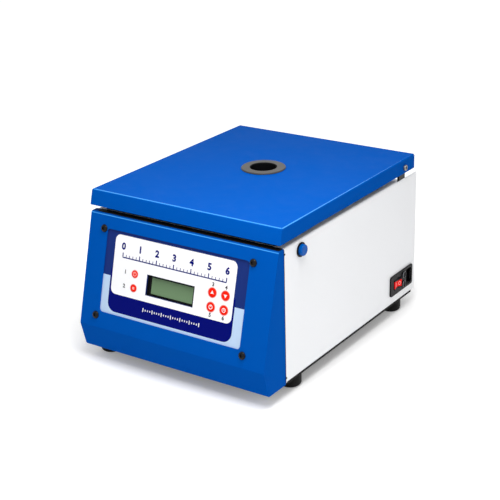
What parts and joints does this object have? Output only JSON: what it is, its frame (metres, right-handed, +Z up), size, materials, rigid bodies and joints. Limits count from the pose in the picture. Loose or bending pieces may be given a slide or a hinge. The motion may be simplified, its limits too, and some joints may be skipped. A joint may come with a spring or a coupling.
{
  "type": "bench cytocentrifuge",
  "caption": "Bench centrifuge with a sloping control panel, a hinged lid with a port, a latch button at the side, and a rotor that carries tilting slide holders.",
  "frame": {"origin": "on the floor under the middle of the body's width and length", "axes": "+X to the right side that carries the button and the mains inlet, +Y to the back, +Z up. The front panel faces -Y."},
  "size_m": [0.3117, 0.4079, 0.2361],
  "materials": {
    "blue_paint": "satin blue powder coat on sheet steel",
    "white_paint": "satin white powder coat on sheet steel",
    "black_steel": "blackened steel",
    "bright_steel": "brushed steel",
    "aluminium": "machined aluminium",
    "rubber": "matt black rubber",
    "black_plastic": "moulded black plastic",
    "grey_plastic": "satin grey plastic",
    "white_plastic": "moulded white plastic",
    "blue_plastic": "glossy blue plastic",
    "clear_plastic": "clear plastic sheet",
    "label_print": "printed label with white, pale blue and navy fields",
    "display_green": "grey-green liquid crystal display",
    "key_red": "red key tops",
    "rocker_red": "translucent red plastic",
    "board_green": "circuit board with components",
    "motor_grey": "dark grey metal"
  },
  "bodies": {
    "housing": {"base_plate": "black_steel", "foot_front_left": "rubber", "foot_front_right": "rubber", "foot_rear_left": "rubber", "foot_rear_right": "rubber", "cover": "white_paint", "rear_panel": "white_paint", "fascia": "blue_paint", "label_plate": "label_print", "display_bezel": "black_plastic", "display_glass": "display_green", "panel_screw_1": "black_steel", "panel_screw_2": "black_steel", "panel_screw_3": "black_steel", "panel_screw_4": "black_steel", "control_board": "board_green", "hinge_bracket_left": "bright_steel", "hinge_bracket_right": "bright_steel", "hinge_screw_left": "bright_steel", "hinge_screw_right": "bright_steel", "button_barrel": "black_plastic", "latch_spring": "bright_steel", "latch_bracket": "bright_steel", "lid_switch": "black_plastic", "deck_seal": "rubber", "chamber_bowl": "bright_steel", "motor": "motor_grey", "motor_plate": "bright_steel", "motor_mount_1": "rubber", "motor_mount_2": "rubber", "motor_mount_3": "rubber", "inlet_module": "black_plastic", "power_supply": "motor_grey"},
    "lid": {"lid_shell": "blue_paint", "lid_liner": "black_plastic", "port_ring": "grey_plastic", "port_window": "clear_plastic", "lid_tongue": "bright_steel"},
    "button": {"release_button": "blue_plastic", "latch_bolt": "bright_steel"},
    "rotor": {"rotor_shaft": "bright_steel", "rotor_head": "aluminium", "rotor_knob": "black_plastic"},
    "carrier_1": {"slide_carrier_1": "bright_steel", "sample_chamber_1": "white_plastic"},
    "carrier_2": {"slide_carrier_2": "bright_steel", "sample_chamber_2": "white_plastic"},
    "carrier_3": {"slide_carrier_3": "bright_steel", "sample_chamber_3": "white_plastic"},
    "carrier_4": {"slide_carrier_4": "bright_steel", "sample_chamber_4": "white_plastic"},
    "rocker": {"rocker_switch": "rocker_red"},
    "upper_fuse": {"fuse_cap_upper": "grey_plastic"},
    "lower_fuse": {"fuse_cap_lower": "grey_plastic"},
    "run_key": {"key_run": "key_red"},
    "stop_key": {"key_stop": "key_red"},
    "up_key": {"key_up": "key_red"},
    "down_key": {"key_down": "key_red"},
    "speed_key": {"key_speed": "key_red"},
    "time_key": {"key_time": "key_red"}
  },
  "joints": [
    {"name": "lid_hinge", "type": "hinge", "parent": "housing", "child": "lid", "pos_m": [0, 0.1616, 0.2217], "axis": [-1, 0, 0], "range_deg": [0, 45]},
    {"name": "button_press", "type": "slide", "parent": "housing", "child": "button", "axis": [-1, 0, 0], "range_m": [0, 0.004], "stiffness_N_per_m": 400, "springref_m": -0.004, "deforming": ["latch_spring"]},
    {"name": "rotor_spin", "type": "hinge", "parent": "housing", "child": "rotor", "pos_m": [0, 0.03, 0.13], "axis": [0, 0, 1], "continuous": true},
    {"name": "carrier_1_swing", "type": "hinge", "parent": "rotor", "child": "carrier_1", "pos_m": [0.076, 0.03, 0.1655], "axis": [0, 1, 0], "range_deg": [0, 15]},
    {"name": "carrier_2_swing", "type": "hinge", "parent": "rotor", "child": "carrier_2", "pos_m": [0, 0.106, 0.1655], "axis": [-1, 0, 0], "range_deg": [0, 15]},
    {"name": "carrier_3_swing", "type": "hinge", "parent": "rotor", "child": "carrier_3", "pos_m": [-0.076, 0.03, 0.1655], "axis": [0, -1, 0], "range_deg": [0, 15]},
    {"name": "carrier_4_swing", "type": "hinge", "parent": "rotor", "child": "carrier_4", "pos_m": [0, -0.046, 0.1655], "axis": [1, 0, 0], "range_deg": [0, 15]},
    {"name": "rocker_tilt", "type": "hinge", "parent": "housing", "child": "rocker", "pos_m": [0.1463, 0.1465, 0.049], "axis": [0, 0, 1], "range_deg": [0, 14]},
    {"name": "upper_fuse_turn", "type": "hinge", "parent": "housing", "child": "upper_fuse", "pos_m": [0.1523, 0.1655, 0.0563], "axis": [1, 0, 0], "range_deg": [0, 90]},
    {"name": "lower_fuse_turn", "type": "hinge", "parent": "housing", "child": "lower_fuse", "pos_m": [0.1523, 0.1655, 0.0417], "axis": [1, 0, 0], "range_deg": [0, 90]},
    {"name": "run_key_press", "type": "slide", "parent": "housing", "child": "run_key", "axis": [0, 0.9666, -0.2561], "range_m": [0, 0.0005], "stiffness_N_per_m": 1500, "springref_m": -0.0005},
    {"name": "stop_key_press", "type": "slide", "parent": "housing", "child": "stop_key", "axis": [0, 0.9666, -0.2561], "range_m": [0, 0.0005], "stiffness_N_per_m": 1500, "springref_m": -0.0005},
    {"name": "up_key_press", "type": "slide", "parent": "housing", "child": "up_key", "axis": [0, 0.9666, -0.2561], "range_m": [0, 0.0005], "stiffness_N_per_m": 1500, "springref_m": -0.0005},
    {"name": "down_key_press", "type": "slide", "parent": "housing", "child": "down_key", "axis": [0, 0.9666, -0.2561], "range_m": [0, 0.0005], "stiffness_N_per_m": 1500, "springref_m": -0.0005},
    {"name": "speed_key_press", "type": "slide", "parent": "housing", "child": "speed_key", "axis": [0, 0.9666, -0.2561], "range_m": [0, 0.0005], "stiffness_N_per_m": 1500, "springref_m": -0.0005},
    {"name": "time_key_press", "type": "slide", "parent": "housing", "child": "time_key", "axis": [0, 0.9666, -0.2561], "range_m": [0, 0.0005], "stiffness_N_per_m": 1500, "springref_m": -0.0005}
  ]
}
